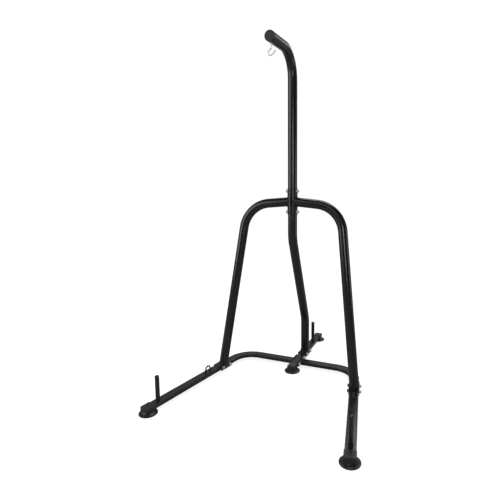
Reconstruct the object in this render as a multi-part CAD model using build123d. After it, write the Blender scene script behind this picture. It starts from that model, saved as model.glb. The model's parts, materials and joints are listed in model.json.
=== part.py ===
"""Free-standing heavy bag stand: bent steel tube frame, bolted together, with a swivel hook.

The frame of reference stands on the floor under the middle of the stand.  +Z is up, +X is to
the right of a person who faces the stand, and -Y is the front, where the bag hangs.
Every length is in millimetres.
"""
import os
from math import atan2, degrees, hypot

from build123d import *

# Overall size
OVERALL_WIDTH = 1252.0
OVERALL_DEPTH = 1480.0

# Round frame tube: mast and legs
TUBE_OD = 60.0
TUBE_WALL = 2.0

# Flat base tubes: the arms with the crossbar, and the narrower centre beam
ARM_W = 57.0
BEAM_W = 50.0
BASE_H = 25.0
BASE_WALL = 2.0
BASE_CORNER_R = 6.0
BASE_Z = 31.0

# Plan of the base
MAST_BEHIND_FRONT_FEET = 781.0
CROSSBAR_BEHIND_MAST = 88.0
CORNER_X = 413.0
CORNER_BEND_R = 150.0
ARM_PAST_FOOT = 26.0
CENTRE_FRONT_FOOT_BEHIND_MAST = -5.0

# Mast
YOKE_Z = 1156.0
MAST_END_GAP = 50.0
GOOSENECK_Z = 2077.0
GOOSENECK_REACH = 356.0
GOOSENECK_DROP = 8.0
GOOSENECK_BEND_R = 150.0
LOWER_MAST_SETBACK = 267.0
UPPER_BEND_BELOW_YOKE = 245.0
LOWER_BEND_Z = 285.0
LOWER_MAST_BEND_R = 200.0

# Legs
SHOULDER_X = 322.0
SHOULDER_DROP = 28.0
SHOULDER_BEND_R = 190.0
LEG_ALONG_ARM = 231.0
SADDLE_AHEAD_OF_TUBE = 10.0

# Half sleeves that clamp the legs round the mast joint
SLEEVE_WALL = 3.0
SLEEVE_FIT = 0.25
SLEEVE_LENGTH = 168.0
SLEEVE_SEAM_GAP = 10.0
SLEEVE_BOLT_OFFSET = 67.0

# Saddles under the legs and the lower mast
SADDLE_PLATE_LENGTH = 122.0
SADDLE_CHEEK_LENGTH = 105.0
SADDLE_WALL = 4.0
SADDLE_FIT = 0.5
SADDLE_BELOW_TUBE = 4.0
SADDLE_BOLT_PITCH = 68.0
SADDLE_EDGE_R = 3.0

# Flange plates between the crossbar halves and the centre beam
FLANGE_BEHIND_CROSSBAR = 12.0
FLANGE_LENGTH = 132.0
FLANGE_HEIGHT = 32.0
FLANGE_THICK = 5.0
FLANGE_BOLT_PITCH = 104.0
FLANGE_CORNER_R = 4.0

# M10 fasteners
BOLT_D = 10.0
BOLT_HOLE_D = 10.5
BOLT_HEAD_AF = 17.0
BOLT_HEAD_H = 6.4
NUT_AF = 17.0
NUT_H = 8.5
WASHER_OD = 20.0
WASHER_THICK = 2.0
WASHER_CLEARANCE = 0.25
THREAD_PAST_NUT = 1.5
THREAD_CHAMFER = 1.0
HEAD_FACE_D = 16.2
HEAD_CHAMFER_H = 0.9
NUT_HEX_H = 6.2
NUT_COLLAR_D = 14.8
NUT_COLLAR_R = 1.2
CURVED_WASHER_OD = 22.0
CURVED_WASHER_THICK = 2.5

# Weight plate pegs
PEG_OD = 25.0
PEG_WALL = 2.0
PEG_TUBE_H = 144.0
PEG_ALONG_ARM = 812.0
REAR_PEG_BEHIND_MAST = 458.0
PEG_CAP_RIM_H = 3.0
PEG_CAP_DOME_H = 4.0
PEG_CAP_STEM = 16.0
PEG_CAP_FIT = 0.1

# Tie loops on the arms
LOOP_ALONG_ARM = 392.0
LOOP_ROD_D = 9.0
LOOP_LENGTH = 50.0
LOOP_HEIGHT = 42.0
LOOP_CROWN_FLAT = 1.0

# Rubber feet
FOOT_D = 105.0
FOOT_RIM_H = 5.0
FOOT_FLARE_SHARE = 0.62
FOOT_WAIST_D = 54.0
FOOT_BOOT_LENGTH = 60.0
FOOT_BOOT_WALL = 2.5
FOOT_FRONT_WALL = 3.0
FOOT_BOOT_CORNER_R = 5.0
FOOT_FRONT_EDGE_R = 2.5
FOOT_BACK_EDGE_R = 0.8
FOOT_RIM_EDGE_R = 1.5
FOOT_TUBE_FIT = 0.1
FOOT_RECESS_D = 72.0
FOOT_RECESS_H = 7.0

# End plug of the mast
PLUG_RIM_PROUD = 0.5
PLUG_RIM_THICK = 4.0
PLUG_STEM = 22.0
PLUG_STEM_WALL = 2.5
PLUG_FIT = 0.15
PLUG_DISH_D = 44.0
PLUG_DISH_DEPTH = 1.5
PLUG_EDGE_R = 2.4

# Swivel hook
HOOK_BEFORE_TUBE_END = 24.0
HOOK_WIRE_D = 8.0
HOOK_SHANK_BELOW_TUBE = 26.0
HOOK_BOWL_R = 13.0
HOOK_BOWL_OFFSET = 21.0
HOOK_BOWL_DEPTH = 65.0
HOOK_BOWL_W = 21.0
HOOK_TIP_X = 23.0
HOOK_TIP_DEPTH = 43.0
BUSH_WALL = 1.5
BUSH_FLANGE_D = 17.0
BUSH_FLANGE_THICK = 2.0
PIVOT_CLEARANCE = 0.08
TURNING_GAP = 0.3
SEAT_OD = 20.0
SEAT_THICK = 2.5
HOOK_NUT_AF = 13.0
HOOK_NUT_H = 8.0
COLLAR_NUT_H = 5.5

# Worked out from the sizes above
TUBE_R = TUBE_OD / 2
FOOT_R = FOOT_D / 2
FOOT_X = OVERALL_WIDTH / 2 - FOOT_R
FRONT_FOOT_Y = FOOT_R - OVERALL_DEPTH / 2
REAR_FOOT_Y = OVERALL_DEPTH / 2 - FOOT_R
MAST_Y = FRONT_FOOT_Y + MAST_BEHIND_FRONT_FEET
CROSSBAR_Y = MAST_Y + CROSSBAR_BEHIND_MAST
CENTRE_FRONT_FOOT_Y = MAST_Y + CENTRE_FRONT_FOOT_BEHIND_MAST
LOWER_MAST_Y = MAST_Y + LOWER_MAST_SETBACK
REAR_PEG_Y = MAST_Y + REAR_PEG_BEHIND_MAST
BASE_TOP = BASE_Z + BASE_H / 2
BASE_BOTTOM = BASE_Z - BASE_H / 2
SADDLE_TOP = BASE_TOP + SADDLE_WALL
SLEEVE_R = TUBE_R + SLEEVE_FIT + SLEEVE_WALL
ARM_LENGTH = hypot(FOOT_X - CORNER_X, CROSSBAR_Y - FRONT_FOOT_Y)
ARM_DIRECTION = Vector((FOOT_X - CORNER_X) / ARM_LENGTH, (FRONT_FOOT_Y - CROSSBAR_Y) / ARM_LENGTH, 0)
ARM_ANGLE = degrees(atan2(ARM_DIRECTION.Y, ARM_DIRECTION.X))
FLANGE_FACE_X = BEAM_W / 2 + FLANGE_THICK
FLANGE_Y = CROSSBAR_Y + FLANGE_BEHIND_CROSSBAR
LEG_SADDLE_ALONG_ARM = LEG_ALONG_ARM + SADDLE_AHEAD_OF_TUBE
CENTRE_SADDLE_Y = LOWER_MAST_Y - SADDLE_AHEAD_OF_TUBE

MIRROR_PLANE = Plane.YZ


def on_arm(distance, height=0.0):
    """A point on the right arm's centreline, this far in front of its corner."""
    return Vector(CORNER_X, CROSSBAR_Y, height) + ARM_DIRECTION * distance


def arm_frame(distance, height=0.0):
    """A plane on the right arm: x runs forwards along the arm and z is up."""
    return Plane(origin=on_arm(distance, height), x_dir=ARM_DIRECTION, z_dir=(0, 0, 1))


def left_arm_frame(distance, height=0.0):
    """A plane on the left arm: x runs forwards along the arm and z is up."""
    place = on_arm(distance, height)
    forwards = Vector(-ARM_DIRECTION.X, ARM_DIRECTION.Y, 0)
    return Plane(origin=(-place.X, place.Y, place.Z), x_dir=forwards, z_dir=(0, 0, 1))


def centre_frame(y, height=0.0):
    """A plane on the centre beam: x runs forwards and z is up."""
    return Plane(origin=(0, y, height), x_dir=(0, -1, 0), z_dir=(0, 0, 1))


def left_of(shape):
    """The left-hand twin of a right-hand piece."""
    return mirror(shape, about=MIRROR_PLANE)


def cylinder_between(start, end, radius):
    """A round rod from one point to another."""
    start = Vector(start)
    run = Vector(end) - start
    return extrude(Plane(origin=start, z_dir=run) * Circle(radius), amount=run.length)


def round_tube(points, bend_radii):
    """A round frame tube along a route with bends."""
    path = FilletPolyline(*points, radius=bend_radii)
    end = Plane(origin=path @ 0, z_dir=path % 0)
    return sweep(end * Circle(TUBE_R) - end * Circle(TUBE_R - TUBE_WALL), path=path)


def flat_section(width, grow=0.0):
    """The outline of a flat base tube, grown on every side."""
    return RectangleRounded(width + 2 * grow, BASE_H + 2 * grow, BASE_CORNER_R + grow)


def flat_tube(path, width):
    """A flat base tube along a level path."""
    end = Plane(origin=path @ 0, x_dir=Vector(0, 0, 1).cross(path % 0), z_dir=path % 0)
    return sweep(end * flat_section(width) - end * flat_section(width, -BASE_WALL), path=path)


def saddle_half_width(tube_width):
    """Half of a saddle's outer width over a tube of this width."""
    return tube_width / 2 + SADDLE_FIT + SADDLE_WALL


def cross_hole(frame, along):
    """A bolt hole right across a piece, at this distance along its frame."""
    start = frame.from_local_coords((along, -ARM_W, 0))
    end = frame.from_local_coords((along, ARM_W, 0))
    return cylinder_between(start, end, BOLT_HOLE_D / 2)


def bolt_places(pitch):
    """The two places of a pair of bolts, either side of the middle."""
    return (-pitch / 2, pitch / 2)


# ---------------------------------------------------------------- mast
def upper_mast_tube():
    """The upright upper mast, bent forwards at its top into a gooseneck."""
    bottom = YOKE_Z + MAST_END_GAP / 2
    tube = round_tube(
        [
            (0, MAST_Y, bottom),
            (0, MAST_Y, GOOSENECK_Z),
            (0, MAST_Y - GOOSENECK_REACH, GOOSENECK_Z - GOOSENECK_DROP),
        ],
        GOOSENECK_BEND_R,
    )
    tube -= sleeve_bolt_hole(YOKE_Z + SLEEVE_BOLT_OFFSET)
    return tube - hook_hole()


def lower_mast_tube():
    """The lower mast: down from the yoke, back, and down again to the centre beam."""
    top = YOKE_Z - MAST_END_GAP / 2
    tube = round_tube(
        [
            (0, MAST_Y, top),
            (0, MAST_Y, YOKE_Z - UPPER_BEND_BELOW_YOKE),
            (0, LOWER_MAST_Y, LOWER_BEND_Z),
            (0, LOWER_MAST_Y, SADDLE_TOP),
        ],
        LOWER_MAST_BEND_R,
    )
    return tube - sleeve_bolt_hole(YOKE_Z - SLEEVE_BOLT_OFFSET)


def sleeve_bolt_hole(height):
    """A hole right through the mast joint, from side to side."""
    reach = 2 * SLEEVE_R
    return cylinder_between((-reach, MAST_Y, height), (reach, MAST_Y, height), BOLT_HOLE_D / 2)


def gooseneck_end():
    """The plane of the mast's open end: z points out of the tube."""
    run = Vector(0, -GOOSENECK_REACH, -GOOSENECK_DROP)
    tip = Vector(0, MAST_Y - GOOSENECK_REACH, GOOSENECK_Z - GOOSENECK_DROP)
    return Plane(origin=tip, x_dir=(1, 0, 0), z_dir=run)


def mast_end_plug():
    """The push-in plug that closes the mast's open end."""
    stem_r = TUBE_R - TUBE_WALL - PLUG_FIT
    rim = extrude(Circle(TUBE_R + PLUG_RIM_PROUD), amount=PLUG_RIM_THICK)
    rim = fillet(rim.edges().group_by(Axis.Z)[-1], PLUG_EDGE_R)
    dish_floor = Pos(0, 0, PLUG_RIM_THICK - PLUG_DISH_DEPTH)
    dish = dish_floor * extrude(Circle(PLUG_DISH_D / 2), amount=PLUG_RIM_THICK)
    ring = Circle(stem_r) - Circle(stem_r - PLUG_STEM_WALL)
    stem = extrude(ring, amount=-PLUG_STEM)
    room = Cylinder(HOOK_NUT_AF, 2 * TUBE_OD, rotation=(90, 0, 0))
    room = Pos(0, 0, -HOOK_BEFORE_TUBE_END) * room
    return gooseneck_end() * (rim - dish + stem - room)


# ---------------------------------------------------------------- legs
def right_leg_tube():
    """The right leg: from the mast out over the shoulder and down to the arm."""
    foot = on_arm(LEG_ALONG_ARM, SADDLE_TOP)
    shoulder_z = YOKE_Z - SHOULDER_DROP
    lean = (YOKE_Z - shoulder_z) / (YOKE_Z - SADDLE_TOP)
    shoulder = Vector(SHOULDER_X, MAST_Y + (foot.Y - MAST_Y) * lean, shoulder_z)
    below = foot + (foot - shoulder).normalized() * TUBE_OD
    tube = round_tube([(0, MAST_Y, YOKE_Z), shoulder, below], SHOULDER_BEND_R)
    tube -= Pos(0, MAST_Y, YOKE_Z) * Cylinder(SLEEVE_R, 2 * SLEEVE_LENGTH)
    floor = Pos(foot.X, foot.Y, SADDLE_TOP - TUBE_OD) * Box(4 * TUBE_OD, 4 * TUBE_OD, 2 * TUBE_OD)
    return tube - floor


def right_half_sleeve():
    """The right half of the sleeve that joins the legs and both mast tubes."""
    ring = Circle(SLEEVE_R) - Circle(TUBE_R + SLEEVE_FIT)
    half = ring - Pos(SLEEVE_SEAM_GAP / 2, 0) * Rectangle(
        3 * SLEEVE_R, 3 * SLEEVE_R, align=(Align.MAX, Align.CENTER)
    )
    sleeve = Pos(0, MAST_Y, YOKE_Z - SLEEVE_LENGTH / 2) * extrude(half, amount=SLEEVE_LENGTH)
    for side in (-1, 1):
        sleeve -= sleeve_bolt_hole(YOKE_Z + side * SLEEVE_BOLT_OFFSET)
    return sleeve


# ---------------------------------------------------------------- base
def right_base_tube():
    """The right half of the crossbar, its corner and the arm, bent from one flat tube."""
    end = on_arm(ARM_LENGTH + ARM_PAST_FOOT, BASE_Z)
    start = (FLANGE_FACE_X, CROSSBAR_Y, BASE_Z)
    path = FilletPolyline(start, (CORNER_X, CROSSBAR_Y, BASE_Z), end, radius=CORNER_BEND_R)
    tube = flat_tube(path, ARM_W)
    for along in bolt_places(SADDLE_BOLT_PITCH):
        tube -= cross_hole(arm_frame(LEG_SADDLE_ALONG_ARM, BASE_Z), along)
    return tube


def centre_beam_tube():
    """The short beam that runs from front to back through the crossbar."""
    front = CENTRE_FRONT_FOOT_Y - ARM_PAST_FOOT
    back = REAR_FOOT_Y + ARM_PAST_FOOT
    tube = flat_tube(Line((0, front, BASE_Z), (0, back, BASE_Z)), BEAM_W)
    for along in bolt_places(SADDLE_BOLT_PITCH):
        tube -= cross_hole(centre_frame(CENTRE_SADDLE_Y, BASE_Z), along)
    for along in bolt_places(FLANGE_BOLT_PITCH):
        tube -= cross_hole(centre_frame(FLANGE_Y, BASE_Z), along)
    return tube


def right_flange_plate():
    """The plate on the crossbar's inner end, which bolts against the centre beam."""
    outline = RectangleRounded(FLANGE_LENGTH, FLANGE_HEIGHT, FLANGE_CORNER_R)
    face = Plane(origin=(BEAM_W / 2, FLANGE_Y, BASE_Z), x_dir=(0, 1, 0), z_dir=(1, 0, 0))
    plate = extrude(face * outline, amount=FLANGE_THICK)
    for along in bolt_places(FLANGE_BOLT_PITCH):
        plate -= cross_hole(centre_frame(FLANGE_Y, BASE_Z), along)
    return plate


def saddle(tube_width):
    """A pressed channel over a flat tube: a long top plate and two shorter cheeks."""
    half_w = saddle_half_width(tube_width)
    top = BASE_H / 2 + SADDLE_WALL
    bottom = -BASE_H / 2 - SADDLE_BELOW_TUBE
    profile = Rectangle(2 * half_w, top - bottom)
    profile = fillet(profile.vertices().group_by(Axis.Y)[-1], SADDLE_EDGE_R)
    profile = Pos(0, (top + bottom) / 2) * profile
    inside = Pos(0, BASE_H / 2) * Rectangle(
        2 * (half_w - SADDLE_WALL), 2 * (top - bottom), align=(Align.CENTER, Align.MAX)
    )
    across = Plane(origin=(0, 0, 0), x_dir=(0, 1, 0), z_dir=(1, 0, 0))
    channel = extrude(across * (profile - inside), amount=SADDLE_PLATE_LENGTH / 2, both=True)
    cheek_end = (SADDLE_PLATE_LENGTH - SADDLE_CHEEK_LENGTH) / 2
    for side in (-1, 1):
        place = side * (SADDLE_PLATE_LENGTH - cheek_end) / 2
        channel -= Pos(place, 0, BASE_H / 2) * Box(
            cheek_end, 3 * half_w, 4 * BASE_H, align=(Align.CENTER, Align.CENTER, Align.MAX)
        )
    for along in bolt_places(SADDLE_BOLT_PITCH):
        channel -= cross_hole(Plane.XY, along)
    return channel


# ---------------------------------------------------------------- small welded pieces
def peg_tube(frame):
    """A weight plate peg: a short upright tube on the base tube."""
    return frame * extrude(Circle(PEG_OD / 2) - Circle(PEG_OD / 2 - PEG_WALL), amount=PEG_TUBE_H)


def peg_cap(frame):
    """The domed plastic cap pushed into the top of a peg."""
    rim_r = PEG_OD / 2
    rim = extrude(Circle(rim_r), amount=PEG_CAP_RIM_H)
    dome_r = (rim_r**2 + PEG_CAP_DOME_H**2) / (2 * PEG_CAP_DOME_H)
    ball = Pos(0, 0, PEG_CAP_RIM_H + PEG_CAP_DOME_H - dome_r) * Sphere(dome_r)
    above = Pos(0, 0, PEG_CAP_RIM_H) * Cylinder(
        rim_r, 2 * PEG_CAP_DOME_H, align=(Align.CENTER, Align.CENTER, Align.MIN)
    )
    stem = extrude(Circle(PEG_OD / 2 - PEG_WALL - PEG_CAP_FIT), amount=-PEG_CAP_STEM)
    return frame * Pos(0, 0, PEG_TUBE_H) * (rim + (ball & above) + stem)


def tie_loop():
    """A bent rod welded on the arm, with its plane along the arm."""
    half = (LOOP_LENGTH - LOOP_ROD_D) / 2
    crown = LOOP_HEIGHT - LOOP_ROD_D / 2
    corners = [(-half, 0, 0), (-half, 0, crown), (half, 0, crown), (half, 0, 0)]
    path = FilletPolyline(*corners, radius=half - LOOP_CROWN_FLAT / 2)
    return sweep(Plane(origin=path @ 0, z_dir=path % 0) * Circle(LOOP_ROD_D / 2), path=path)


# ---------------------------------------------------------------- feet
def rubber_foot(tube_width):
    """A moulded foot: a boot over the tube's end and a flared round skirt.

    x points out of the tube's end, and the origin is on the floor at the skirt's middle.
    """
    boot_w = tube_width + 2 * (FOOT_TUBE_FIT + FOOT_BOOT_WALL)
    boot_h = BASE_H + 2 * (FOOT_TUBE_FIT + FOOT_BOOT_WALL)
    front = ARM_PAST_FOOT + FOOT_FRONT_WALL
    across = Plane(origin=(front, 0, BASE_Z), x_dir=(0, 1, 0), z_dir=(-1, 0, 0))
    boot = extrude(across * RectangleRounded(boot_w, boot_h, FOOT_BOOT_CORNER_R), amount=FOOT_BOOT_LENGTH)
    boot = fillet(boot.faces().sort_by(Axis.X)[-1].edges(), FOOT_FRONT_EDGE_R)
    boot = fillet(boot.faces().sort_by(Axis.X)[0].edges(), FOOT_BACK_EDGE_R)
    waist_z = BASE_BOTTOM
    waist_r = FOOT_WAIST_D / 2
    flare_middle = (
        FOOT_R - FOOT_FLARE_SHARE * (FOOT_R - waist_r),
        FOOT_RIM_H + (1 - FOOT_FLARE_SHARE) * (waist_z - FOOT_RIM_H),
    )
    with BuildSketch(Plane.XZ) as side:
        with BuildLine():
            FilletPolyline(
                (FOOT_RECESS_D / 2, 0),
                (FOOT_R, 0),
                (FOOT_R, FOOT_RIM_H),
                radius=FOOT_RIM_EDGE_R,
            )
            ThreePointArc(
                (FOOT_R, FOOT_RIM_H),
                flare_middle,
                (waist_r, waist_z),
            )
            Polyline(
                (waist_r, waist_z),
                (0, waist_z),
                (0, FOOT_RECESS_H),
                (FOOT_RECESS_D / 2 - FOOT_RECESS_H, FOOT_RECESS_H),
                (FOOT_RECESS_D / 2, 0),
            )
        make_face()
    skirt = revolve(side.sketch, axis=Axis.Z)
    tube_end = Plane(origin=(ARM_PAST_FOOT, 0, BASE_Z), x_dir=(0, 1, 0), z_dir=(-1, 0, 0))
    tube_room = extrude(tube_end * flat_section(tube_width, FOOT_TUBE_FIT), amount=2 * FOOT_BOOT_LENGTH)
    return boot + skirt - tube_room


# ---------------------------------------------------------------- fasteners
def hexagon(across_flats, height):
    """A plain hexagon prism, standing on its origin."""
    return extrude(RegularPolygon(across_flats / 2, 6, major_radius=False), amount=height)


def hex_bolt(grip):
    """A hexagon bolt: the underside of its head is at z = 0 and its shank runs to +z."""
    head = hexagon(BOLT_HEAD_AF, BOLT_HEAD_H)
    face = extrude(Circle(BOLT_HEAD_AF), amount=BOLT_HEAD_H)
    face = chamfer(face.edges().group_by(Axis.Z)[0], HEAD_CHAMFER_H, BOLT_HEAD_AF - HEAD_FACE_D / 2)
    head = Pos(0, 0, -BOLT_HEAD_H) * (head & face)
    shank = extrude(Circle(BOLT_D / 2), amount=grip + NUT_H + THREAD_PAST_NUT)
    shank = chamfer(shank.edges().group_by(Axis.Z)[-1], THREAD_CHAMFER)
    return head + shank


def lock_nut():
    """A lock nut with its domed collar, seated at z = 0."""
    body = hexagon(NUT_AF, NUT_HEX_H)
    collar = extrude(Circle(NUT_COLLAR_D / 2), amount=NUT_H)
    collar = fillet(collar.edges().group_by(Axis.Z)[-1], NUT_COLLAR_R)
    return body + collar - extrude(Circle(BOLT_D / 2), amount=NUT_H)


def flat_washer():
    """A plain washer, seated at z = 0."""
    ring = Circle(WASHER_OD / 2) - Circle(BOLT_D / 2 + WASHER_CLEARANCE)
    return extrude(ring, amount=WASHER_THICK)


def curved_washer():
    """A washer hollowed below to sit on the sleeve, which runs along x: z = 0 is the sleeve's side."""
    ring = Circle(CURVED_WASHER_OD / 2) - Circle(BOLT_D / 2 + WASHER_CLEARANCE)
    disc = Pos(0, 0, -SLEEVE_WALL) * extrude(ring, amount=SLEEVE_WALL + CURVED_WASHER_THICK)
    return disc - Pos(0, 0, -SLEEVE_R) * Cylinder(SLEEVE_R, CURVED_WASHER_OD * 2, rotation=(0, 90, 0))


def bolt_set(frame, along_places, half_grip, washer, washer_height):
    """Bolts, washers and nuts across a piece: heads on the frame's -y side, nuts on its +y side."""
    bolts = []
    washers = []
    nuts = []
    outer = half_grip + washer_height
    for along in along_places:
        head_side = frame * Plane(origin=(along, -outer, 0), x_dir=(1, 0, 0), z_dir=(0, 1, 0))
        bolts.append(head_side * hex_bolt(2 * outer))
        nut_side = frame * Plane(origin=(along, outer, 0), x_dir=(1, 0, 0), z_dir=(0, 1, 0))
        nuts.append(nut_side * lock_nut())
        for side in (-1, 1):
            seat = frame * Plane(origin=(along, side * half_grip, 0), x_dir=(1, 0, 0), z_dir=(0, side, 0))
            washers.append(seat * washer)
    return bolts, washers, nuts


# ---------------------------------------------------------------- hook
def hook_frame():
    """A plane where the hook's axis meets the bottom of the gooseneck: z is up."""
    end = gooseneck_end()
    centre = end.from_local_coords((0, 0, -HOOK_BEFORE_TUBE_END))
    slope = GOOSENECK_DROP / GOOSENECK_REACH
    bottom = centre.Z - TUBE_R * hypot(1, slope)
    return Plane(origin=(0, centre.Y, bottom), x_dir=(1, 0, 0), z_dir=(0, 0, 1))


def hook_hole():
    """The hole through the gooseneck's lower wall for the hook's bush."""
    hole = Cylinder(HOOK_WIRE_D / 2 + PIVOT_CLEARANCE + BUSH_WALL, TUBE_R)
    return hook_frame() * hole


def gooseneck_bore(radius):
    """A rod along the gooseneck's axis, past both sides of the hook."""
    end = gooseneck_end()
    rod = Pos(0, 0, -2 * HOOK_BEFORE_TUBE_END) * extrude(Circle(radius), amount=4 * HOOK_BEFORE_TUBE_END)
    return end * rod


def hook_bush():
    """The flanged plastic bush that lines the hole, with its flange under the tube."""
    bore_r = HOOK_WIRE_D / 2 + PIVOT_CLEARANCE
    ring = Circle(BUSH_FLANGE_D / 2) - Circle(bore_r)
    flange = Pos(0, 0, -BUSH_FLANGE_THICK) * extrude(ring, amount=3 * BUSH_FLANGE_THICK)
    barrel = extrude(Circle(bore_r + BUSH_WALL) - Circle(bore_r), amount=2 * TUBE_WALL)
    placed_flange = hook_frame() * flange - gooseneck_bore(TUBE_R)
    placed_barrel = hook_frame() * barrel - gooseneck_bore(TUBE_R - TUBE_WALL)
    return placed_flange + placed_barrel


def hook_seat():
    """The washer inside the tube that the hook's nut turns on: round below, flat above."""
    bore_r = HOOK_WIRE_D / 2 + PIVOT_CLEARANCE
    disc = extrude(Circle(SEAT_OD / 2) - Circle(bore_r), amount=SEAT_THICK + 2 * TUBE_WALL)
    return (hook_frame() * disc) & gooseneck_bore(TUBE_R - TUBE_WALL)


def hook():
    """The hook, bent from round bar: a straight shank, an offset back and an open bowl."""
    top = 2 * TUBE_WALL + SEAT_THICK + HOOK_NUT_H + THREAD_PAST_NUT
    left = -HOOK_BOWL_OFFSET
    points = [
        (0, 0, top),
        (0, 0, -HOOK_SHANK_BELOW_TUBE),
        (left, 0, -HOOK_SHANK_BELOW_TUBE - HOOK_BOWL_OFFSET),
        (left, 0, -HOOK_BOWL_DEPTH),
        (left + HOOK_BOWL_W, 0, -HOOK_BOWL_DEPTH),
        (HOOK_TIP_X, 0, -HOOK_TIP_DEPTH),
    ]
    path = FilletPolyline(*points, radius=[HOOK_WIRE_D, 2 * HOOK_WIRE_D, HOOK_BOWL_R, HOOK_BOWL_R])
    start = Plane(origin=path @ 0, z_dir=path % 0)
    bar = sweep(start * Circle(HOOK_WIRE_D / 2), path=path)
    tip = Location(path @ 1) * Sphere(HOOK_WIRE_D / 2)
    return hook_frame() * (bar + tip)


def hook_nut(height, lift):
    """A nut on the hook's shank, this far above the tube's lower side."""
    nut = hexagon(HOOK_NUT_AF, height) - extrude(Circle(HOOK_WIRE_D / 2), amount=height)
    return hook_frame() * Pos(0, 0, lift) * nut


# ---------------------------------------------------------------- output
def group(solids):
    """Separate solids that share one node."""
    return Compound(children=list(solids))


def build():
    """Every node of the stand by name."""
    right_saddle_frame = arm_frame(LEG_SADDLE_ALONG_ARM, BASE_Z)
    left_saddle_frame = left_arm_frame(LEG_SADDLE_ALONG_ARM, BASE_Z)
    centre_saddle_frame = centre_frame(CENTRE_SADDLE_Y, BASE_Z)
    right = {
        "leg_tube": right_leg_tube(),
        "half_sleeve": right_half_sleeve(),
        "base_tube": right_base_tube(),
        "flange_plate": right_flange_plate(),
        "leg_saddle": right_saddle_frame * saddle(ARM_W),
        "peg_tube": peg_tube(arm_frame(PEG_ALONG_ARM, BASE_TOP)),
        "peg_cap": peg_cap(arm_frame(PEG_ALONG_ARM, BASE_TOP)),
        "tie_loop": arm_frame(LOOP_ALONG_ARM, BASE_TOP) * tie_loop(),
        "front_foot": arm_frame(ARM_LENGTH) * rubber_foot(ARM_W),
    }
    nodes = {}
    for name, shape in right.items():
        nodes["right_" + name] = shape
        nodes["left_" + name] = left_of(shape)

    nodes["upper_mast_tube"] = upper_mast_tube()
    nodes["lower_mast_tube"] = lower_mast_tube()
    nodes["mast_end_plug"] = mast_end_plug()
    nodes["centre_beam_tube"] = centre_beam_tube()
    nodes["centre_saddle"] = centre_saddle_frame * saddle(BEAM_W)
    nodes["rear_peg_tube"] = peg_tube(centre_frame(REAR_PEG_Y, BASE_TOP))
    nodes["rear_peg_cap"] = peg_cap(centre_frame(REAR_PEG_Y, BASE_TOP))
    nodes["centre_front_foot"] = centre_frame(CENTRE_FRONT_FOOT_Y) * rubber_foot(BEAM_W)
    rear_end = Plane(origin=(0, REAR_FOOT_Y, 0), x_dir=(0, 1, 0), z_dir=(0, 0, 1))
    nodes["centre_rear_foot"] = rear_end * rubber_foot(BEAM_W)

    washer = flat_washer()
    pair = bolt_places(SADDLE_BOLT_PITCH)
    right_set = bolt_set(right_saddle_frame, pair, saddle_half_width(ARM_W), washer, WASHER_THICK)
    centre_set = bolt_set(centre_saddle_frame, pair, saddle_half_width(BEAM_W), washer, WASHER_THICK)
    left_set = bolt_set(left_saddle_frame, pair, saddle_half_width(ARM_W), washer, WASHER_THICK)
    for kind, *sets in zip(("bolts", "washers", "lock_nuts"), right_set, left_set, centre_set):
        nodes["leg_saddle_" + kind] = group(sets[0] + sets[1])
        nodes["centre_saddle_" + kind] = group(sets[2])
    flange_set = bolt_set(
        centre_frame(FLANGE_Y, BASE_Z), bolt_places(FLANGE_BOLT_PITCH), FLANGE_FACE_X, washer, WASHER_THICK
    )
    for kind, pieces in zip(("bolts", "washers", "lock_nuts"), flange_set):
        nodes["flange_" + kind] = group(pieces)
    upright = Plane(origin=(0, MAST_Y, YOKE_Z), x_dir=(0, 0, 1), z_dir=(0, 1, 0))
    sleeve_set = bolt_set(
        upright, bolt_places(2 * SLEEVE_BOLT_OFFSET), SLEEVE_R, curved_washer(), CURVED_WASHER_THICK
    )
    for kind, pieces in zip(("bolts", "curved_washers", "lock_nuts"), sleeve_set):
        nodes["sleeve_" + kind] = group(pieces)

    seat_top = SEAT_THICK + 2 * TUBE_WALL
    nodes["hook"] = hook()
    nodes["hook_bush"] = hook_bush()
    nodes["hook_seat"] = hook_seat()
    nodes["hook_lock_nut"] = hook_nut(HOOK_NUT_H, seat_top + TURNING_GAP)
    nodes["hook_collar_nut"] = hook_nut(COLLAR_NUT_H, -BUSH_FLANGE_THICK - TURNING_GAP - COLLAR_NUT_H)
    return nodes


def main():
    """Write one file for each node."""
    os.makedirs("parts", exist_ok=True)
    for name, shape in build().items():
        export_step(shape, "parts/" + name + ".step")


main()
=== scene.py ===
"""A free-standing heavy bag stand: satin black powder-coated tube, zinc fasteners and rubber feet.

The CAD model is the frame.  This script gives its nodes their finishes, lays the weld beads, cuts
real threads and hexagons on the fasteners, and sets the studio round it.  Lengths are metres.
"""
import json
from math import cos, pi, radians, sin, tau

import bmesh
import bpy
import numpy as np
from mathutils import Matrix, Vector


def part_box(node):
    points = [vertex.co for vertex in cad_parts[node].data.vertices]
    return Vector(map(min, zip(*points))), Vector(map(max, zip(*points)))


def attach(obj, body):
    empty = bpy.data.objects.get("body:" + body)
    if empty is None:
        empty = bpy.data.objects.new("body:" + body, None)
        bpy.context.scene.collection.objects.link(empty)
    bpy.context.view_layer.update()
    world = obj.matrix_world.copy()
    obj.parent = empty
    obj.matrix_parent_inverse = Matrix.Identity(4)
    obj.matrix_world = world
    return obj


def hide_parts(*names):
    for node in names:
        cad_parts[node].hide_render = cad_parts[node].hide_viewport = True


MM = 0.001

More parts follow.
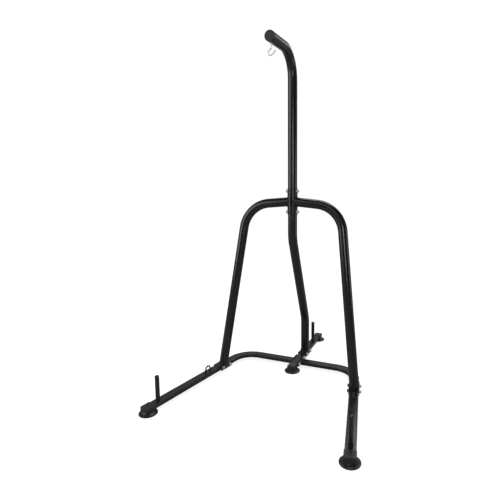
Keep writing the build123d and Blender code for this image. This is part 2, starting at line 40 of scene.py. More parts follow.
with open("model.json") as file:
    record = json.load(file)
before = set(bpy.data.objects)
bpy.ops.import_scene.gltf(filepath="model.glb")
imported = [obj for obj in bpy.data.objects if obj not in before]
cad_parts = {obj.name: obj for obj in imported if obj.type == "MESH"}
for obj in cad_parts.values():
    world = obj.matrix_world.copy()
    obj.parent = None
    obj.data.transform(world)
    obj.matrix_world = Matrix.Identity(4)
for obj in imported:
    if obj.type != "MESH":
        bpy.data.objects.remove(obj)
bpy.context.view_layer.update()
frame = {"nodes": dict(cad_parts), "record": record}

# ------------------------------------------------------------------ sizes
# Camera: it stands at the front right, at chest height, and looks a little down.
CAMERA_PLACE = Vector((0.9418, -2.4448, 1.3076))
CAMERA_AZIMUTH = radians(21.157)
CAMERA_PITCH = radians(7.692)
CAMERA_ROLL = radians(-0.099)
CAMERA_SENSOR = 36.0
CAMERA_LENS = 30.03
CAMERA_SHIFT = (-0.0735, -0.0315)

# Studio: how bright the white surround is to the eye and to the floor, and how much dimmer it is in
# reflections: towards the front, towards the rear, and below the horizon past the floor's edge
SURROUND_WHITE = 1.03
FLOOR_GLOW = 0.81
FRONT_IN_REFLECTIONS = 0.05
REAR_IN_REFLECTIONS = 0.33
FLOOR_IN_REFLECTIONS = 0.3
REFLECTED_FRONT_TO_REAR = (-0.1, 0.8)
REFLECTED_WALL_TO_FLOOR = (0.02, -0.12)
FLOOR_HALF = 15
LIGHTS_AIM_Z = 1.0
# Each softbox: its azimuth in degrees (0 is straight in front), height, distance, width, tallness
# and brightness
SOFTBOXES = {
    "side_softbox": (-50, 2.1, 3.6, 3.0, 2.9, 2.6),
    "front_softbox": (0, 3.7, 3.4, 3.2, 1.8, 1.1),
    "key_softbox": (32, 1.6, 3.5, 0.9, 1.1, 6.5),
    "top_softbox": (180, 5.0, 1.4, 3.0, 1.6, 4.0),
    "rear_softbox": (180, 3.1, 3.6, 3.0, 0.7, 3.2),
    "right_softbox": (105, 1.0, 3.2, 0.9, 1.4, 2.0),
}

# Fasteners: M10 with a 17 mm hexagon
BOLT_D = 10 * MM
THREAD_PITCH = 1.5 * MM
THREAD_LENGTH = 26 * MM
HEX_AF = 17 * MM
HEAD_H = 6.4 * MM
NUT_HEX_H = 6.2 * MM
NUT_H = 8.5 * MM
NUT_COLLAR_R = 7.4 * MM
CHAMFER_SLOPE = 0.5
ROUND_STEPS = 72
SHARP_ANGLE = radians(30)

# Hexagons: half across flats, and the rounds that the chamfers leave, as shares of it
FLAT_R = HEX_AF / 2
FACE_R = FLAT_R * 0.94
WASHER_FACE_R = FLAT_R * 0.96
CHAMFER_START_R = FLAT_R * 0.97

# Lock nut: its bore, and the collar rolled over the nylon ring
NUT_BORE_R = BOLT_D / 2 - 0.2 * MM
COLLAR_WALL = 1.2 * MM
COLLAR_EDGE = 0.35 * MM
COLLAR_LIP = 1.5 * MM
NYLON_R = NUT_COLLAR_R - 1.45 * MM
NYLON_FOOT_Z = NUT_H - 1.6 * MM
NYLON_TOP_Z = NUT_H - 0.5 * MM
NYLON_GRIP = 0.3 * MM

# Weld beads: half of each bead's width, and the step from one ripple to the next
FRAME_BEAD_R = 3.2 * MM
SMALL_BEAD_R = 2.0 * MM
RIPPLE_PITCH = 2.6 * MM
RIPPLE_DEPTH = 0.22
RIPPLE_STEPS = 5.0
RIPPLE_POWER = 1.6
BEAD_FULLNESS = (0.88, 1.14)
BEAD_WANDER = 9 * MM
BEAD_SIDES = 14
BEAD_SEED = 3.0
TOUCH = 0.02 * MM
# A corner is on a face's outer edge when none this near it in angle reaches much further out
NEIGHBOUR_ANGLE = radians(14)
OUTER_SHARE = 0.97


# ------------------------------------------------------------------ helpers for node trees
def from_hex(colour):
    """An sRGB hex colour as linear RGBA."""
    parts = [int(colour[i : i + 2], 16) / 255 for i in (1, 3, 5)]
    linear = [c / 12.92 if c <= 0.04045 else ((c + 0.055) / 1.055) ** 2.4 for c in parts]
    return (*linear, 1.0)


def add(tree, kind, values=None, links=None, **properties):
    """Add a node with its properties, its inputs' values and the outputs that feed its inputs."""
    node = tree.nodes.new(kind)
    for name, value in properties.items():
        setattr(node, name, value)
    for name, value in (values or {}).items():
        node.inputs[name].default_value = value
    for name, source in (links or {}).items():
        tree.links.new(source, node.inputs[name])
    return node


def mixed(tree, factor, first, second):
    """The colour between two hex tones by a factor."""
    mix = add(tree, "ShaderNodeMix", links={0: factor}, data_type="RGBA")
    mix.inputs["A"].default_value = from_hex(first)
    mix.inputs["B"].default_value = from_hex(second)
    colours = [socket for socket in mix.outputs if socket.type == "RGBA"]
    return colours[0]


def clouds(tree, place, size, low=0.0, high=1.0, detail=3.0):
    """A value that drifts between low and high over patches of this size."""
    noise = add(
        tree,
        "ShaderNodeTexNoise",
        {"Scale": 1 / size, "Detail": detail, "Roughness": 0.6},
        {"Vector": place},
    )
    spread = add(
        tree,
        "ShaderNodeMapRange",
        {"From Min": 0.32, "From Max": 0.68, "To Min": low, "To Max": high},
        {"Value": noise.outputs["Fac"]},
    )
    return spread.outputs["Result"]


def relief(tree, height, distance, under=None):
    """A bump of this real height, laid over the normal from another bump."""
    links = {"Height": height}
    if under:
        links["Normal"] = under
    bump = add(tree, "ShaderNodeBump", {"Strength": 1.0, "Distance": distance}, links)
    return bump.outputs["Normal"]


def new_finish(name, **shader_values):
    """A finish with its shader set; returns its material, tree, shader and object coordinates."""
    material = bpy.data.materials.new(name)
    material.use_nodes = True
    tree = material.node_tree
    tree.nodes.clear()
    place = add(tree, "ShaderNodeTexCoord").outputs["Object"]
    shader = add(tree, "ShaderNodeBsdfPrincipled")
    for label, value in shader_values.items():
        shader.inputs[label.replace("_", " ")].default_value = value
    add(tree, "ShaderNodeOutputMaterial", links={"Surface": shader.outputs["BSDF"]})
    return material, tree, shader, place


# ------------------------------------------------------------------ finishes
def powder_coat():
    """Polyester powder coat, satin black, baked on steel tube.

    The melt leaves an orange-peel skin a few millimetres across, which softens each reflection, and
    the sheen drifts a little along the tube.
    """
    material, tree, shader, place = new_finish("satin_black_powder_coat", IOR=1.5)
    tone = mixed(tree, clouds(tree, place, 90 * MM), "#080809", "#0c0c0d")
    sheen = clouds(tree, place, 60 * MM, 0.20, 0.26)
    peel = clouds(tree, place, 3.5 * MM, detail=1.0)
    grit = clouds(tree, place, 0.6 * MM, detail=1.0)
    skin = relief(tree, grit, 0.0006 * MM, relief(tree, peel, 0.003 * MM))
    tree.links.new(tone, shader.inputs["Base Color"])
    tree.links.new(sheen, shader.inputs["Roughness"])
    tree.links.new(skin, shader.inputs["Normal"])
    return material


def moulded_rubber():
    """Injection-moulded black rubber: a fine eroded grain, a low sheen and a bloom of dust."""
    material, tree, shader, place = new_finish("moulded_black_rubber", IOR=1.52)
    tone = mixed(tree, clouds(tree, place, 25 * MM), "#0b0b0c", "#121212")
    sheen = clouds(tree, place, 18 * MM, 0.31, 0.42)
    grain = clouds(tree, place, 0.7 * MM, detail=2.0)
    tree.links.new(tone, shader.inputs["Base Color"])
    tree.links.new(sheen, shader.inputs["Roughness"])
    tree.links.new(relief(tree, grain, 0.03 * MM), shader.inputs["Normal"])
    return material


def moulded_plastic():
    """Black polyethylene, injection moulded: semi-matt, with a fine spark-eroded grain."""
    material, tree, shader, place = new_finish("moulded_black_polyethylene", IOR=1.51)
    tone = mixed(tree, clouds(tree, place, 12 * MM), "#0a0a0b", "#101011")
    sheen = clouds(tree, place, 9 * MM, 0.18, 0.26)
    grain = clouds(tree, place, 0.5 * MM, detail=2.0)
    tree.links.new(tone, shader.inputs["Base Color"])
    tree.links.new(sheen, shader.inputs["Roughness"])
    tree.links.new(relief(tree, grain, 0.02 * MM), shader.inputs["Normal"])
    return material


def bright_zinc(name, grain, depth):
    """Bright zinc plate with a clear passivate: a cool white metal with bluish and straw patches.

    Barrel plating tumbles nuts and washers, which leaves a fine grain. The hook's drawn bar is
    smoother, with only long soft ripples.
    """
    material, tree, shader, place = new_finish(name, Metallic=1.0)
    tone = mixed(tree, clouds(tree, place, 5 * MM), "#eff1f3", "#f3f0e9")
    sheen = clouds(tree, place, 3 * MM, 0.40, 0.54)
    tumbled = clouds(tree, place, grain, detail=1.0)
    tree.links.new(tone, shader.inputs["Base Color"])
    tree.links.new(sheen, shader.inputs["Roughness"])
    tree.links.new(relief(tree, tumbled, depth), shader.inputs["Normal"])
    return material


def black_zinc():
    """Black zinc on the bolts: a dark, slightly brown metal with lighter worn patches."""
    material, tree, shader, place = new_finish("black_zinc_plate", Metallic=1.0)
    worn = clouds(tree, place, 2.5 * MM, 0.0, 1.0)
    tone = mixed(tree, worn, "#232324", "#3a3937")
    sheen = clouds(tree, place, 3 * MM, 0.32, 0.46)
    tree.links.new(tone, shader.inputs["Base Color"])
    tree.links.new(sheen, shader.inputs["Roughness"])
    return material


def nylon_insert():
    """The natural nylon ring of a lock nut: milky, waxy and a little see-through."""
    material, tree, shader, place = new_finish("natural_nylon", IOR=1.53, Subsurface_Weight=0.2)
    shader.inputs["Subsurface Scale"].default_value = 1.5 * MM
    tone = mixed(tree, clouds(tree, place, 4 * MM), "#b9b7ad", "#cfcdc4")
    sheen = clouds(tree, place, 2 * MM, 0.35, 0.5)
    tree.links.new(tone, shader.inputs["Base Color"])
    tree.links.new(sheen, shader.inputs["Roughness"])
    return material


def studio_floor():
    """The studio floor: matt pale paint, lifted to white by a glow that only the eye gets."""
    material, tree, shader, place = new_finish("matt_pale_paint", IOR=1.45, Roughness=0.85)
    seen = add(tree, "ShaderNodeLightPath")
    tone = mixed(tree, clouds(tree, place, 400 * MM), "#838383", "#878787")
    glow = add(
        tree,
        "ShaderNodeMath",
        {1: FLOOR_GLOW},
        {0: seen.outputs["Is Camera Ray"]},
        operation="MULTIPLY",
    )
    shader.inputs["Emission Color"].default_value = from_hex("#ffffff")
    tree.links.new(glow.outputs["Value"], shader.inputs["Emission Strength"])
    tree.links.new(tone, shader.inputs["Base Color"])
    return material


POWDER_COAT = powder_coat()
RUBBER = moulded_rubber()
PLASTIC = moulded_plastic()
ZINC = bright_zinc("bright_zinc_plate", 0.9 * MM, 0.006 * MM)
HOOK_ZINC = bright_zinc("bright_zinc_wire", 6 * MM, 0.004 * MM)
BLACK_BOLT = black_zinc()
NYLON = nylon_insert()

SLOT_FINISH = {
    "frame_black": POWDER_COAT,
    "foot_rubber": RUBBER,
    "black_plastic": PLASTIC,
    "nylon": PLASTIC,
    "zinc_fasteners": ZINC,
    "bolt_black": BLACK_BOLT,
    "hook_zinc": HOOK_ZINC,
}


def dress_nodes():
    """Give each CAD node the finish of its material slot."""
    for part in frame["record"]["subparts"]:
        node = frame["nodes"][part["node"]]
        node.data.materials.clear()
        node.data.materials.append(SLOT_FINISH[part["material_slot"]])


# ------------------------------------------------------------------ reading the CAD solids
def solids_of(node):
    """The separate solids of a node, each as an array of its corners."""
    copy = bmesh.new()
    copy.from_mesh(frame["nodes"][node].data)
    bmesh.ops.remove_doubles(copy, verts=copy.verts, dist=0.001 * MM)
    left = set(copy.verts)
    solids = []
    while left:
        edge_of_solid = [left.pop()]
        solid = []
        while edge_of_solid:
            corner = edge_of_solid.pop()
            solid.append(corner.co.copy())
            near = {e.other_vert(corner) for e in corner.link_edges} & left
            left -= near
            edge_of_solid.extend(near)
        solids.append(np.array(solid))
    copy.free()
    return solids


def long_axis(solid):
    """The direction in which a solid is longest, towards +X."""
    centred = solid - solid.mean(0)
    direction = np.linalg.svd(centred, full_matrices=False)[2][0]
    return direction if direction[0] > 0 else -direction


def bolt_axes(kind):
    """Each bolt of a kind: its axis from head to thread, a point on it, and its ends along it."""
    found = []
    for solid in solids_of(kind + "_bolts"):
        axis = long_axis(solid)
        along = solid @ axis
        tip = solid[along > along.max() - TOUCH]
        found.append((axis, tip.mean(0), along.min(), along.max()))
    return found


def seats_on(bolts, node):
    """Where each of a node's solids starts along the bolt that it sits on: (place, axis) pairs."""
    seats = []
    for solid in solids_of(node):
        middle = solid.mean(0)
        off = [np.linalg.norm(np.cross(middle - point, axis)) for axis, point, _, _ in bolts]
        axis, point, _, _ = bolts[int(np.argmin(off))]
        start = (solid @ axis).min()
        seats.append((point + axis * (start - point @ axis), axis))
    return seats


# ------------------------------------------------------------------ mesh helpers
def new_piece(name, mesh):
    """A piece of the stand at the origin, with its place in its mesh."""
    piece = bpy.data.objects.new(name, mesh)
    bpy.context.scene.collection.objects.link(piece)
    return piece


def mesh_from(name, corners, faces, edges=()):
    """A mesh from its corners and faces, or its edges."""
    mesh = bpy.data.meshes.new(name)
    mesh.from_pydata([tuple(c) for c in corners], list(edges), list(faces))
    mesh.update()
    return mesh


def smooth_but_sharp_edges(mesh):
    """Shade a mesh smooth, and keep the edges that turn by more than the sharp angle."""
    mesh.shade_smooth()
    mesh.set_sharp_from_angle(angle=SHARP_ANGLE)


def hexagon_radius(turn):
    """The hexagon's radius at this angle, 8.5 mm at the middle of each flat."""
    side = (turn + pi / 6) % (pi / 3) - pi / 6
    return FLAT_R / cos(side)


def stacked_rings(rings, closed_ends=True):
    """Corners and faces of a skin through a stack of rings.

    Each ring is a function from the angle to a radius and a height.
    """
    turns = [tau * step / ROUND_STEPS for step in range(ROUND_STEPS)]
    corners = []
    for ring in rings:
        for turn in turns:
            radius, height = ring(turn)
            corners.append((radius * cos(turn), radius * sin(turn), height))
    faces = []
    for level in range(len(rings) - 1):
        low = level * ROUND_STEPS
        high = low + ROUND_STEPS
        for step in range(ROUND_STEPS):
            after = (step + 1) % ROUND_STEPS
            faces.append((low + step, low + after, high + after, high + step))
    if closed_ends:
        faces.append(tuple(reversed(range(ROUND_STEPS))))
        faces.append(tuple(range(len(corners) - ROUND_STEPS, len(corners))))
    return corners, faces


def circle_ring(radius, height):
    """A round ring."""
    return lambda turn: (radius, height)


def hexagon_ring(height, slope=0.0):
    """A hexagonal ring, whose corners drop away from the face by the chamfer's slope."""

    def ring(turn):
        radius = hexagon_radius(turn)
        return radius, height - slope * (radius - CHAMFER_START_R)

    return ring


def head_shape():
    """A bolt's head, from its chamfered outer face at z = 0 to its washer face."""
    rings = [
        circle_ring(FACE_R, 0),
        hexagon_ring(0.35 * MM, -CHAMFER_SLOPE),
        hexagon_ring(HEAD_H - 0.5 * MM),
        circle_ring(WASHER_FACE_R, HEAD_H - 0.45 * MM),
        circle_ring(FACE_R, HEAD_H),
    ]
    return stacked_rings(rings)


def nut_shape():
    """A lock nut, from its washer face at z = 0 up to the rolled collar round its nylon ring."""
    rings = [
        circle_ring(NUT_BORE_R, 0),
        circle_ring(WASHER_FACE_R, 0),
        hexagon_ring(0.5 * MM, -CHAMFER_SLOPE),
        hexagon_ring(NUT_HEX_H - 0.4 * MM, CHAMFER_SLOPE),
        circle_ring(NUT_COLLAR_R, NUT_HEX_H),
        circle_ring(NUT_COLLAR_R, NUT_H - COLLAR_WALL),
        circle_ring(NUT_COLLAR_R - COLLAR_EDGE, NUT_H - COLLAR_EDGE),
        circle_ring(NUT_COLLAR_R - COLLAR_WALL, NUT_H),
        circle_ring(NUT_COLLAR_R - COLLAR_LIP, NUT_H - 0.4 * MM),
    ]
    return stacked_rings(rings, closed_ends=False)


def nylon_shape():
    """The nylon ring inside the lock nut's collar."""
    rings = [
        circle_ring(NYLON_R, NYLON_FOOT_Z),
        circle_ring(NYLON_R, NYLON_TOP_Z),
        circle_ring(BOLT_D / 2 + NYLON_GRIP, NYLON_TOP_Z),
        circle_ring(BOLT_D / 2 - NYLON_GRIP, NUT_H - 0.8 * MM),
        circle_ring(BOLT_D / 2 - NYLON_GRIP, NYLON_FOOT_Z),
    ]
    return stacked_rings(rings, closed_ends=False)


def template(name, shapes_and_finishes):
    """A hidden pattern object that geometry nodes set out on each axis."""
    corners = []
    faces = []
    slots = []
    for index, ((points, polygons), _) in enumerate(shapes_and_finishes):
        start = len(corners)
        corners.extend(points)
        faces.extend(tuple(start + p for p in polygon) for polygon in polygons)
        slots.extend([index] * len(polygons))
    mesh = mesh_from(name, corners, faces)
    for _, finish in shapes_and_finishes:
        mesh.materials.append(finish)
    mesh.polygons.foreach_set("material_index", slots)
    smooth_but_sharp_edges(mesh)
    return bpy.data.objects.new(name, mesh)


# ------------------------------------------------------------------ geometry node trees
def new_tree(name, inputs):
    """A geometry node tree with these named inputs; returns it with its input and output nodes."""
    tree = bpy.data.node_groups.new(name, "GeometryNodeTree")
    tree.interface.new_socket("Geometry", in_out="INPUT", socket_type="NodeSocketGeometry")
    tree.interface.new_socket("Geometry", in_out="OUTPUT", socket_type="NodeSocketGeometry")
    for label, kind in inputs:
        tree.interface.new_socket(label, in_out="INPUT", socket_type=kind)
    return tree, add(tree, "NodeGroupInput"), add(tree, "NodeGroupOutput")


def made_by(piece, tree, values):
    """Run a tree on a piece with these input values, and keep the result as a plain mesh."""
    modifier = piece.modifiers.new(tree.name, "NODES")
    modifier.node_group = tree
    for item in tree.interface.items_tree:
        if item.in_out == "INPUT" and item.name in values:
            modifier[item.identifier] = values[item.name]
    bpy.context.view_layer.update()
    evaluated = piece.evaluated_get(bpy.context.evaluated_depsgraph_get())
    mesh = bpy.data.meshes.new_from_object(evaluated)
    piece.modifiers.remove(modifier)
    piece.data = mesh
    return piece


def weld_tree():
    """Sweeps a rippled bead along closed paths: each ripple is one freeze of the weld pool."""
    tree, given, result = new_tree(
        "weld_bead",
        [
            ("Ripple Pitch", "NodeSocketFloat"),
            ("Ripple Depth", "NodeSocketFloat"),
            ("Steps In Ripple", "NodeSocketFloat"),
            ("Seed", "NodeSocketFloat"),
            ("Material", "NodeSocketMaterial"),
        ],
    )
    bead = add(tree, "GeometryNodeInputNamedAttribute", {"Name": "bead"}, data_type="FLOAT")
    curve = add(tree, "GeometryNodeMeshToCurve", links={"Mesh": given.outputs["Geometry"]})
    soft = add(
        tree,
        "GeometryNodeCurveSplineType",
        links={"Curve": curve.outputs["Curve"]},
        spline_type="CATMULL_ROM",
    )
    step = add(
        tree,
        "ShaderNodeMath",
        links={0: given.outputs["Ripple Pitch"], 1: given.outputs["Steps In Ripple"]},
        operation="DIVIDE",
    )
    even = add(
        tree,
        "GeometryNodeResampleCurve",
        links={"Curve": soft.outputs["Curve"], "Length": step.outputs["Value"]},
        mode="LENGTH",
    )
    reach = add(tree, "GeometryNodeSplineParameter")
    count = add(
        tree,
        "ShaderNodeMath",
        links={0: reach.outputs["Length"], 1: given.outputs["Ripple Pitch"]},
        operation="DIVIDE",
    )
    wander = add(
        tree,
        "ShaderNodeTexNoise",
        {"Scale": 1 / BEAD_WANDER, "Detail": 1.0},
        {"W": given.outputs["Seed"]},
        noise_dimensions="4D",
    )
    drift = add(
        tree,
        "ShaderNodeMath",
        links={0: count.outputs["Value"], 1: wander.outputs["Fac"]},
        operation="ADD",
    )
    ripple = add(tree, "ShaderNodeMath", links={0: drift.outputs["Value"]}, operation="FRACT")
    arch = add(
        tree, "ShaderNodeMath", {1: RIPPLE_POWER}, {0: ripple.outputs["Value"]}, operation="POWER"
    )
    sink = add(
        tree,
        "ShaderNodeMath",
        links={0: arch.outputs["Value"], 1: given.outputs["Ripple Depth"]},
        operation="MULTIPLY",
    )
    fullness = add(
        tree,
        "ShaderNodeMapRange",
        {"To Min": BEAD_FULLNESS[0], "To Max": BEAD_FULLNESS[1]},
        {"Value": wander.outputs["Fac"]},
    )
    height = add(
        tree,
        "ShaderNodeMath",
        links={0: fullness.outputs["Result"], 1: sink.outputs["Value"]},
        operation="SUBTRACT",
    )
    radius = add(
        tree,
        "ShaderNodeMath",
        links={0: height.outputs["Value"], 1: bead.outputs["Attribute"]},
        operation="MULTIPLY",
    )
    section = add(
        tree, "GeometryNodeCurvePrimitiveCircle", {"Resolution": BEAD_SIDES, "Radius": 1.0}
    )
    swept = add(
        tree,
        "GeometryNodeCurveToMesh",
        links={
            "Curve": even.outputs["Curve"],
            "Profile Curve": section.outputs["Curve"],
            "Scale": radius.outputs["Value"],
        },
    )
    smooth = add(tree, "GeometryNodeSetShadeSmooth", links={"Geometry": swept.outputs["Mesh"]})
    real = add(tree, "GeometryNodeRealizeInstances", links={"Geometry": smooth.outputs["Geometry"]})
    finish = add(
        tree,
        "GeometryNodeSetMaterial",
        links={"Geometry": real.outputs["Geometry"], "Material": given.outputs["Material"]},
    )
    tree.links.new(finish.outputs["Geometry"], result.inputs["Geometry"])
    return tree


def set_out_tree():
    """Stands a copy of a pattern on each point, with its z along the point's axis."""
    tree, given, result = new_tree("set_out_on_axes", [("Pattern", "NodeSocketObject")])
    axis = add(tree, "GeometryNodeInputNamedAttribute", {"Name": "axis"}, data_type="FLOAT_VECTOR")
    turn = add(
        tree,
        "FunctionNodeAlignRotationToVector",
        links={"Vector": axis.outputs["Attribute"]},
        axis="Z",
    )
    pattern = add(tree, "GeometryNodeObjectInfo", links={"Object": given.outputs["Pattern"]})
    copies = add(
        tree,
        "GeometryNodeInstanceOnPoints",
        links={
            "Points": given.outputs["Geometry"],
            "Instance": pattern.outputs["Geometry"],
            "Rotation": turn.outputs["Rotation"],
        },
    )
    real = add(
        tree, "GeometryNodeRealizeInstances", links={"Geometry": copies.outputs["Instances"]}
    )
    tree.links.new(real.outputs["Geometry"], result.inputs["Geometry"])
    return tree


def thread_tree():
    """Stands a threaded shank on each point: a core with one helical ridge up its end."""
    tree, given, result = new_tree(
        "threaded_shank",
        [
            ("Core Radius", "NodeSocketFloat"),
            ("Shank Length", "NodeSocketFloat"),
            ("Thread Length", "NodeSocketFloat"),
            ("Pitch", "NodeSocketFloat"),
            ("Material", "NodeSocketMaterial"),
        ],
    )
    axis = add(tree, "GeometryNodeInputNamedAttribute", {"Name": "axis"}, data_type="FLOAT_VECTOR")
    turn = add(
        tree,
        "FunctionNodeAlignRotationToVector",
        links={"Vector": axis.outputs["Attribute"]},
        axis="Z",
    )
    core = add(
        tree,
        "GeometryNodeMeshCylinder",
        {"Vertices": 32},
        {"Radius": given.outputs["Core Radius"], "Depth": given.outputs["Shank Length"]},
    )
    half = add(
        tree, "ShaderNodeMath", {1: 0.5}, {0: given.outputs["Shank Length"]}, operation="MULTIPLY"
    )
    raised = add(tree, "ShaderNodeCombineXYZ", links={"Z": half.outputs["Value"]})
    stood = add(
        tree,
        "GeometryNodeTransform",
        links={"Geometry": core.outputs["Mesh"], "Translation": raised.outputs["Vector"]},
    )
    turns = add(
        tree,
        "ShaderNodeMath",
        links={0: given.outputs["Thread Length"], 1: given.outputs["Pitch"]},
        operation="DIVIDE",
    )
    helix = add(
        tree,
        "GeometryNodeCurveSpiral",
        {"Resolution": 24},
        {
            "Rotations": turns.outputs["Value"],
            "Start Radius": given.outputs["Core Radius"],
            "End Radius": given.outputs["Core Radius"],
            "Height": given.outputs["Thread Length"],
        },
    )
    ridge_r = add(
        tree, "ShaderNodeMath", {1: 0.5}, {0: given.outputs["Pitch"]}, operation="MULTIPLY"
    )
    ridge = add(
        tree,
        "GeometryNodeCurvePrimitiveCircle",
        {"Resolution": 4},
        {"Radius": ridge_r.outputs["Value"]},
    )
    thread = add(
        tree,
        "GeometryNodeCurveToMesh",
        {"Fill Caps": True},
        {"Curve": helix.outputs["Curve"], "Profile Curve": ridge.outputs["Curve"]},
    )
    lift = add(
        tree,
        "ShaderNodeMath",
        links={0: given.outputs["Shank Length"], 1: given.outputs["Thread Length"]},
        operation="SUBTRACT",
    )
    clear = add(
        tree,
        "ShaderNodeMath",
        links={0: lift.outputs["Value"], 1: given.outputs["Pitch"]},
        operation="SUBTRACT",
    )
    up = add(tree, "ShaderNodeCombineXYZ", links={"Z": clear.outputs["Value"]})
    placed = add(
        tree,
        "GeometryNodeTransform",
        links={"Geometry": thread.outputs["Mesh"], "Translation": up.outputs["Vector"]},
    )
    both = add(tree, "GeometryNodeJoinGeometry")
    tree.links.new(stood.outputs["Geometry"], both.inputs["Geometry"])
    tree.links.new(placed.outputs["Geometry"], both.inputs["Geometry"])
    copies = add(
        tree,
        "GeometryNodeInstanceOnPoints",
        links={
            "Points": given.outputs["Geometry"],
            "Instance": both.outputs["Geometry"],
            "Rotation": turn.outputs["Rotation"],
        },
    )
    real = add(
        tree, "GeometryNodeRealizeInstances", links={"Geometry": copies.outputs["Instances"]}
    )
    finish = add(
        tree,
        "GeometryNodeSetMaterial",
        links={"Geometry": real.outputs["Geometry"], "Material": given.outputs["Material"]},
    )
    tree.links.new(finish.outputs["Geometry"], result.inputs["Geometry"])
    return tree


# ------------------------------------------------------------------ welds
def outer_ring(node, touches):
    """The outer edge of the face where a node meets its neighbour, as a closed path."""
    corners = np.unique(np.round([v.co[:] for v in frame["nodes"][node].data.vertices], 7), axis=0)
    on_face = np.array([c for c in corners if touches(Vector(c))])
    centre = on_face.mean(0)
    normal = np.linalg.svd(on_face - centre, full_matrices=False)[2][2]
    across = np.cross(normal, (0.3, 0.5, 0.8))
    across /= np.linalg.norm(across)
    second = np.cross(normal, across)
    flat = np.column_stack([(on_face - centre) @ across, (on_face - centre) @ second])
    reach = np.linalg.norm(flat, axis=1)
    turn = np.arctan2(flat[:, 1], flat[:, 0])
    order = np.argsort(turn)
    ring = []
    for i in order:
        near = np.abs((turn - turn[i] + pi) % tau - pi) < NEIGHBOUR_ANGLE
        if reach[i] > OUTER_SHARE * reach[near].max():
            ring.append(on_face[i])
    return ring


def weld_places():
    """Each weld's path with the size of its bead."""
    sleeve_low, sleeve_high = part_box("right_half_sleeve")
    sleeve_r = sleeve_high.x
    mast_y = (sleeve_low.y + sleeve_high.y) / 2
    saddle_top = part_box("centre_saddle")[1].z
    base_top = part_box("right_base_tube")[1].z
    flange_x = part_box("right_flange_plate")[1].x

    def on_sleeve(c):
        return abs(Vector((c.x, c.y - mast_y)).length - sleeve_r) < 5 * TOUCH

    def on_saddle(c):
        return abs(c.z - saddle_top) < TOUCH

    def on_base(c):
        return abs(c.z - base_top) < TOUCH

    def on_flange(c):
        return abs(abs(c.x) - flange_x) < TOUCH

    welds = [(outer_ring("lower_mast_tube", on_saddle), FRAME_BEAD_R)]
    welds.append((outer_ring("rear_peg_tube", on_base), SMALL_BEAD_R))
    for side in ("left", "right"):
        welds.append((outer_ring(side + "_leg_tube", on_sleeve), FRAME_BEAD_R))
        welds.append((outer_ring(side + "_leg_tube", on_saddle), FRAME_BEAD_R))
        welds.append((outer_ring(side + "_peg_tube", on_base), SMALL_BEAD_R))
        welds.append((outer_ring(side + "_base_tube", on_flange), SMALL_BEAD_R))
        low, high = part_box(side + "_tie_loop")
        middle = (low.y + high.y) / 2
        near_end = outer_ring(side + "_tie_loop", lambda c: on_base(c) and c.y < middle)
        far_end = outer_ring(side + "_tie_loop", lambda c: on_base(c) and c.y > middle)
        welds.extend([(near_end, SMALL_BEAD_R), (far_end, SMALL_BEAD_R)])
    return welds


def lay_welds():
    """All weld beads of the stand as one piece."""
    corners = []
    edges = []
    beads = []
    for path, bead in weld_places():
        start = len(corners)
        corners.extend(path)
        beads.extend([bead] * len(path))
        edges.extend((start + i, start + (i + 1) % len(path)) for i in range(len(path)))
    mesh = mesh_from("weld_paths", corners, (), edges)
    mesh.attributes.new("bead", "FLOAT", "POINT").data.foreach_set("value", beads)
    piece = new_piece("weld_beads", mesh)
    values = {
        "Ripple Pitch": RIPPLE_PITCH,
        "Ripple Depth": RIPPLE_DEPTH,
        "Steps In Ripple": RIPPLE_STEPS,
        "Seed": BEAD_SEED,
        "Material": POWDER_COAT,
    }
    made_by(piece, weld_tree(), values)
    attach(piece, "stand")


# ------------------------------------------------------------------ fasteners
def axis_points(name, seats):
    """A mesh with one loose point for each seat, which carries the seat's axis."""
    mesh = mesh_from(name, [place for place, _ in seats], ())
    axes = np.array([axis for _, axis in seats], dtype=np.float32)
    mesh.attributes.new("axis", "FLOAT_VECTOR", "POINT").data.foreach_set("vector", axes.ravel())
    return mesh


def joined(name, pieces):
    """Several pieces as one, with their meshes' own materials."""
    whole = bmesh.new()
    finishes = []
    for piece in pieces:
        start = len(whole.faces)
        whole.from_mesh(piece.data)
        whole.faces.ensure_lookup_table()
        for face in whole.faces[start:]:
            finish = piece.data.materials[face.material_index]
            if finish not in finishes:
                finishes.append(finish)
            face.material_index = finishes.index(finish)
        bpy.data.objects.remove(piece)
    mesh = bpy.data.meshes.new(name)
    whole.to_mesh(mesh)
    whole.free()
    for finish in finishes:
        mesh.materials.append(finish)
    smooth_but_sharp_edges(mesh)
    return new_piece(name, mesh)


def make_fasteners(kind, trees, patterns):
    """The bolts and lock nuts of one joint: hexagon heads, threaded shanks and nylon rings."""
    bolts = bolt_axes(kind)
    low_ends = [(point + axis * (low - point @ axis), axis) for axis, point, low, _ in bolts]
    heads = new_piece(kind + "_heads", axis_points(kind + "_heads", low_ends))
    made_by(heads, trees["set_out"], {"Pattern": patterns["head"]})
    shanks = new_piece(kind + "_shanks", axis_points(kind + "_shanks", low_ends))
    values = {
        "Core Radius": BOLT_D / 2 - THREAD_PITCH / 2,
        "Shank Length": bolts[0][3] - bolts[0][2],
        "Thread Length": THREAD_LENGTH,
        "Pitch": THREAD_PITCH,
        "Material": BLACK_BOLT,
    }
    made_by(shanks, trees["thread"], values)
    whole = joined(kind + "_bolt_set", [heads, shanks])
    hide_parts(kind + "_bolts")
    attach(whole, "stand")
    nut_seats = seats_on(bolts, kind + "_lock_nuts")
    nuts = new_piece(kind + "_nut_set", axis_points(kind + "_nuts", nut_seats))
    made_by(nuts, trees["set_out"], {"Pattern": patterns["nut"]})
    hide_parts(kind + "_lock_nuts")
    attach(nuts, "stand")


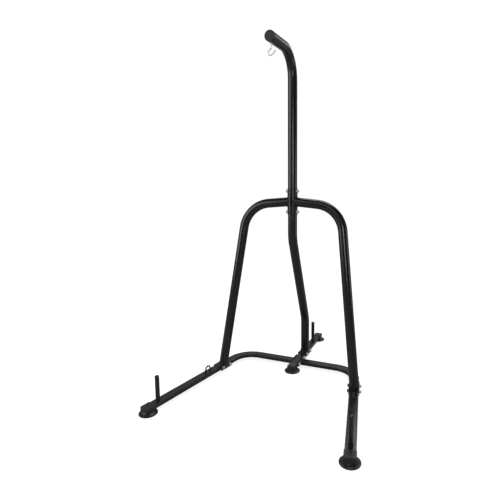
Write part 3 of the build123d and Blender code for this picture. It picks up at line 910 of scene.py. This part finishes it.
def lay_fasteners():
    """The fasteners of every bolted joint."""
    trees = {"set_out": set_out_tree(), "thread": thread_tree()}
    patterns = {
        "head": template("head_pattern", [(head_shape(), BLACK_BOLT)]),
        "nut": template("nut_pattern", [(nut_shape(), ZINC), (nylon_shape(), NYLON)]),
    }
    for kind in ("leg_saddle", "centre_saddle", "flange", "sleeve"):
        make_fasteners(kind, trees, patterns)
    for pattern in patterns.values():
        bpy.data.objects.remove(pattern)


# ------------------------------------------------------------------ studio
def make_camera():
    """The camera at its place, turned by its azimuth, pitch and roll."""
    data = bpy.data.cameras.new("studio_camera")
    data.sensor_width = CAMERA_SENSOR
    data.lens = CAMERA_LENS
    data.shift_x, data.shift_y = CAMERA_SHIFT
    data.clip_start = 0.05
    data.clip_end = 60.0
    camera = bpy.data.objects.new("studio_camera", data)
    level = Matrix.Rotation(pi / 2 - CAMERA_PITCH, 4, "X")
    turned = Matrix.Rotation(CAMERA_AZIMUTH, 4, "Z") @ level @ Matrix.Rotation(CAMERA_ROLL, 4, "Z")
    camera.matrix_world = Matrix.Translation(CAMERA_PLACE) @ turned
    bpy.context.scene.collection.objects.link(camera)
    bpy.context.scene.camera = camera


def softbox(name, azimuth, height, distance, width, tall, brightness):
    """A soft rectangular light that faces the middle of the stand."""
    target = Vector((0, 0, LIGHTS_AIM_Z))
    turn = radians(azimuth)
    place = Vector((distance * sin(turn), -distance * cos(turn), height))
    data = bpy.data.lights.new(name, "AREA")
    data.shape = "RECTANGLE"
    data.size = width
    data.size_y = tall
    data.energy = brightness * pi * width * tall
    light = bpy.data.objects.new(name, data)
    light.location = place
    light.rotation_euler = (target - place).to_track_quat("-Z", "Y").to_euler()
    bpy.context.scene.collection.objects.link(light)


def make_surround():
    """The white surround: even to the eye and the floor, dimmer and shaded in reflections."""
    world = bpy.data.worlds.new("studio_surround")
    world.use_nodes = True
    tree = world.node_tree
    tree.nodes.clear()
    way = add(tree, "ShaderNodeTexCoord").outputs["Generated"]
    split = add(tree, "ShaderNodeSeparateXYZ", links={"Vector": way})
    behind = add(
        tree,
        "ShaderNodeMapRange",
        {
            "From Min": REFLECTED_FRONT_TO_REAR[0],
            "From Max": REFLECTED_FRONT_TO_REAR[1],
            "To Min": FRONT_IN_REFLECTIONS,
            "To Max": REAR_IN_REFLECTIONS,
        },
        {"Value": split.outputs["Y"]},
    )
    below = add(
        tree,
        "ShaderNodeMapRange",
        {"From Min": REFLECTED_WALL_TO_FLOOR[0], "From Max": REFLECTED_WALL_TO_FLOOR[1]},
        {"Value": split.outputs["Z"]},
    )
    dim = add(
        tree,
        "ShaderNodeMix",
        {3: FLOOR_IN_REFLECTIONS},
        {0: below.outputs["Result"], 2: behind.outputs["Result"]},
        data_type="FLOAT",
    )
    seen = add(tree, "ShaderNodeLightPath")
    strength = add(
        tree,
        "ShaderNodeMix",
        {2: SURROUND_WHITE},
        {0: seen.outputs["Is Glossy Ray"], 3: dim.outputs[0]},
        data_type="FLOAT",
    )
    white = add(
        tree,
        "ShaderNodeBackground",
        {"Color": (1, 1, 1, 1)},
        {"Strength": strength.outputs[0]},
    )
    add(tree, "ShaderNodeOutputWorld", links={"Surface": white.outputs["Background"]})
    bpy.context.scene.world = world


def make_studio():
    """A white floor in a white surround, and the softboxes round the stand."""
    bpy.context.scene.view_settings.view_transform = "Standard"
    quarters = ((-1, -1), (1, -1), (1, 1), (-1, 1))
    corners = [(x * FLOOR_HALF, y * FLOOR_HALF, 0.0) for x, y in quarters]
    floor = new_piece("studio_floor", mesh_from("studio_floor", corners, [(0, 1, 2, 3)]))
    floor.data.materials.append(studio_floor())
    for name, setting in SOFTBOXES.items():
        softbox(name, *setting)
    make_surround()


# ------------------------------------------------------------------ build
make_camera()
make_studio()
dress_nodes()
lay_welds()
lay_fasteners()
